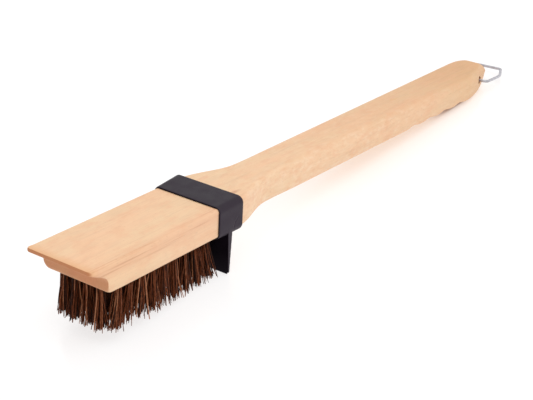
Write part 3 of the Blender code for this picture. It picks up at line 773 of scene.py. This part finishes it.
def make_collar(look):
    """The band and its blade, united and then remeshed finely, so that the mould's edges come out soft."""
    front, rear = COLLAR_FRONT, COLLAR_FRONT + COLLAR_LENGTH
    along, inward = COLLAR_EDGE
    stations = ((front, inward), (front + along / 3, inward / 3), (front + along, 0), (rear, 0))
    mesh = loft("collar", [(x, collar_section(x, inset)) for x, inset in stations])
    mesh = boolean(mesh, make_blade(), "UNION")
    half, corner = HEAD_HALF_WIDTH + COLLAR_GAP, HEAD_EDGE_RADIUS + COLLAR_GAP
    inside = rounded_section(half, half, COLLAR_GAP, -BOARD - COLLAR_GAP, corner, corner)
    opening = loft("opening", [(front - 2 * MM, inside), (rear + 2 * MM, inside)])
    mesh = boolean(mesh, opening, "DIFFERENCE")
    holes = [(under_wood(node), SCREW_SHANK_RADIUS + COLLAR_GAP, 8 * MM, "Z", 24) for node in SCREW_NODES]
    mesh = boolean(mesh, drills("screw_holes", holes), "DIFFERENCE")
    for side in (-1, 1):
        mesh = boolean(mesh, crease(side), "DIFFERENCE")
    mesh = with_modifiers(
        mesh,
        ("REMESH", {"mode": "VOXEL", "voxel_size": COLLAR_VOXEL}),
        ("SMOOTH", {"factor": 0.5, "iterations": 5}),
    )
    return finish_piece("scraper_collar_moulded", mesh, look, "brush", ["scraper_collar"], 180)


# ---------------------------------------------------------------- bristles


def lean_of_tuft(place):
    """How far a tuft's tips lean off it: outward along the edges, and into the free space at both ends."""
    x, y = place.x / MM, place.y / MM
    front = ramp(34, 21, x)
    rear = ramp(72, 107, x)
    corner = ramp(65, 30, x) if y < -15 else 0
    outward = 1.0 + 0.6 * front if y < 0 else 0.3 - 1.8 * front
    return Vector((3.8 * rear - 5.8 * corner, outward * y / 18, 0)) * MM


def fibre_path(root, tip, bow, ripple):
    """Points from root to tip, bending more towards the tip, along a slight bow with a ripple across it."""
    points = []
    for i in range(FIBRE_RINGS):
        t = i / (FIBRE_RINGS - 1)
        swell = math.sin(math.pi * t)
        wave = math.sin(2 * math.pi * t)
        sideways = 0.65 * t + 0.35 * t * t
        point = Vector((
            root.x + (tip.x - root.x) * sideways,
            root.y + (tip.y - root.y) * sideways,
            root.z + (tip.z - root.z) * t,
        ))
        points.append(point + bow * swell + ripple * wave)
    return points


def scatter(chance, spread):
    """A random level step, its spread in millimetres."""
    return Vector((chance.gauss(0, spread), chance.gauss(0, spread), 0)) * MM


def tip_level(place):
    """The lowest that a tuft's fibres reach: further down in the middle of the head."""
    middle = ease(35 * MM, 60 * MM, place.x) * (1 - ease(90 * MM, 110 * MM, place.x))
    return TIP_LEVEL - MID_REACH * middle


def fibre_faces(base):
    """The sides and both ends of a fibre whose vertices start at base, ring after ring."""
    faces = []
    for ring in range(FIBRE_RINGS - 1):
        first = base + ring * FIBRE_SIDES
        for s in range(FIBRE_SIDES):
            a, b = first + s, first + (s + 1) % FIBRE_SIDES
            faces.append((a, a + FIBRE_SIDES, b + FIBRE_SIDES, b))
    faces.append(tuple(base + s for s in range(FIBRE_SIDES)))
    last = base + (FIBRE_RINGS - 1) * FIBRE_SIDES
    faces.append(tuple(last + s for s in reversed(range(FIBRE_SIDES))))
    return faces


def make_tuft(node, place, look, chance):
    """A bundle of palm fibres: packed at the hole, spreading, crossing and uneven at the tips."""
    held = TUFT_HOLE_RADIUS - FIBRE_CLEARANCE
    vertices, faces, shades, alongs = [], [], [], []
    leaning = lean_of_tuft(place) + scatter(chance, TUFT_SCATTER)
    lowest = tip_level(place)
    for _ in range(FIBRES):
        out = math.sqrt(chance.random())
        turn = chance.uniform(0, 2 * math.pi)
        side = Vector((math.cos(turn), math.sin(turn), 0))
        radius = chance.uniform(*FIBRE_RADIUS)
        root = place + side * (held - radius) * out + Vector((0, 0, FIBRE_START))
        stray = STRAY_SCATTER if chance.random() < STRAY_SHARE else FIBRE_SCATTER
        tip = root + side * out * chance.uniform(*FIBRE_SPREAD) * MM + leaning + scatter(chance, stray)
        tip.z = lowest + abs(chance.gauss(0, TIP_UNEVENNESS)) * MM
        path = fibre_path(root, tip, scatter(chance, FIBRE_BOW), scatter(chance, FIBRE_RIPPLE))
        flat = chance.uniform(0.5, 1.0)
        first_turn = chance.uniform(0, 2 * math.pi)
        # painted shade: fibres nearer the tuft's middle get a darker tone, standing in for the shade inside
        # the bundle
        shade = chance.uniform(*chance.choice(FIBRE_SHADES)) * (0.25 + 0.7 * out)
        faces += fibre_faces(len(vertices))
        for i, point in enumerate(path):
            t = i / (FIBRE_RINGS - 1)
            thick = radius * (1.0 - FIBRE_TAPER * t**3)
            for s in range(FIBRE_SIDES):
                angle = first_turn + 2 * math.pi * s / FIBRE_SIDES
                around = Vector((math.cos(angle), math.sin(angle) * flat, 0)) * thick
                vertices.append(point + around)
                shades.append(shade)
                alongs.append(t)
    mesh = bpy.data.meshes.new(node + "_fibres")
    mesh.from_pydata(vertices, [], faces)
    for name, values in (("shade", shades), ("along", alongs)):
        mesh.attributes.new(name, "FLOAT", "POINT").data.foreach_set("value", values)
    return finish_piece(node + "_fibres", mesh, look, "brush", [node], 60)


# ---------------------------------------------------------------- loop and screws


def filleted(corners, steps_each=12):
    """A path through corners, each (point, radius), with an arc in place of every corner that has one."""
    path = []
    for i, (here, radius) in enumerate(corners):
        here = Vector(here)
        if radius == 0:
            path.append(here)
            continue
        back = (Vector(corners[i - 1][0]) - here).normalized()
        on = (Vector(corners[i + 1][0]) - here).normalized()
        half = back.angle(on) / 2
        centre = here + (back + on).normalized() * radius / math.sin(half)
        start = here + back * radius / math.tan(half) - centre
        stop = here + on * radius / math.tan(half) - centre
        for step in range(steps_each + 1):
            path.append(centre + start.slerp(stop, step / steps_each).normalized() * radius)
    return path


def make_loop(look):
    """The bent wire: its two ends in the hole, its legs, and the end bar between its corners."""
    shoulder_x, shoulder_y = LOOP_SHOULDER
    corner_x, corner_y = LOOP_CORNER
    at_hole, at_shoulder, at_corner = LOOP_BENDS
    near, far = (
        [
            ((0, side * LOOP_PIN_INNER, 0), 0),
            ((0, side * LOOP_LEG_Y, 0), at_hole),
            ((shoulder_x, side * shoulder_y, 0), at_shoulder),
            ((corner_x - side * LOOP_SKEW, side * corner_y, 0), at_corner),
        ]
        for side in (-1, 1)
    )
    path = filleted(near + far[::-1])
    wire = bpy.data.curves.new("loop", "CURVE")
    wire.dimensions = "3D"
    wire.bevel_depth = WIRE_RADIUS
    wire.bevel_resolution = 6
    wire.use_fill_caps = True
    spline = wire.splines.new("POLY")
    spline.points.add(len(path) - 1)
    for point, place in zip(spline.points, path):
        point.co = (*place, 1)
    scratch = bpy.data.objects.new("scratch", wire)
    bpy.context.scene.collection.objects.link(scratch)
    depsgraph = bpy.context.evaluated_depsgraph_get()
    mesh = bpy.data.meshes.new_from_object(scratch.evaluated_get(depsgraph))
    bpy.data.objects.remove(scratch)
    mesh.transform(Matrix.Translation(HINGE) @ Matrix.Rotation(LOOP_DROOP, 4, "Y"))
    return finish_piece("hanging_loop_wire", mesh, look, "loop", ["hanging_loop"], 50)


def make_screw(node, look):
    """A slotted pan head under the collar."""
    seat = -COLLAR_STAND_UNDER - COLLAR_GAP
    dome = [
        (SCREW_HEAD_RADIUS * math.cos(a), seat - SCREW_HEAD_HEIGHT * (0.35 + 0.65 * math.sin(a)))
        for a in (math.radians(90 * i / 10) for i in range(11))
    ]
    shank = [(0, 6 * MM), (SCREW_SHANK_RADIUS, 5 * MM), (SCREW_SHANK_RADIUS, seat), (SCREW_HEAD_RADIUS, seat)]
    shape = bmesh.new()
    line = [shape.verts.new((max(r, 0), 0, z)) for r, z in shank + dome]
    edges = [shape.edges.new(pair) for pair in zip(line, line[1:])]
    full_turn = {"axis": (0, 0, 1), "cent": (0, 0, 0), "angle": 2 * math.pi, "steps": 40, "use_merge": True}
    bmesh.ops.spin(shape, geom=line + edges, **full_turn)
    bmesh.ops.remove_doubles(shape, verts=shape.verts, dist=0.005 * MM)
    bmesh.ops.recalc_face_normals(shape, faces=shape.faces)
    mesh = new_mesh("screw", shape)
    slot = bmesh.new()
    bmesh.ops.create_cube(slot, size=1, matrix=Matrix.Diagonal((*SCREW_SLOT, 1)))
    bmesh.ops.translate(slot, vec=(0, 0, seat - SCREW_HEAD_HEIGHT), verts=slot.verts)
    mesh = boolean(mesh, new_mesh("slot", slot), "DIFFERENCE")
    mesh.transform(Matrix.Translation(under_wood(node)))
    return finish_piece(node + "_fine", mesh, look, "brush", [node], 30)


# ---------------------------------------------------------------- assembly

make_camera()
make_studio()
make_lamp()
make_body(wood_material())
make_collar(resin_material())
fibre_look = fibre_material()
tuft_chance = random.Random(TUFT_SEED)
for tuft_node, tuft_place in tuft_places():
    make_tuft(tuft_node, tuft_place, fibre_look, tuft_chance)
make_loop(wire_material())
screw_look = screw_material()
for screw_node in SCREW_NODES:
    make_screw(screw_node, screw_look)
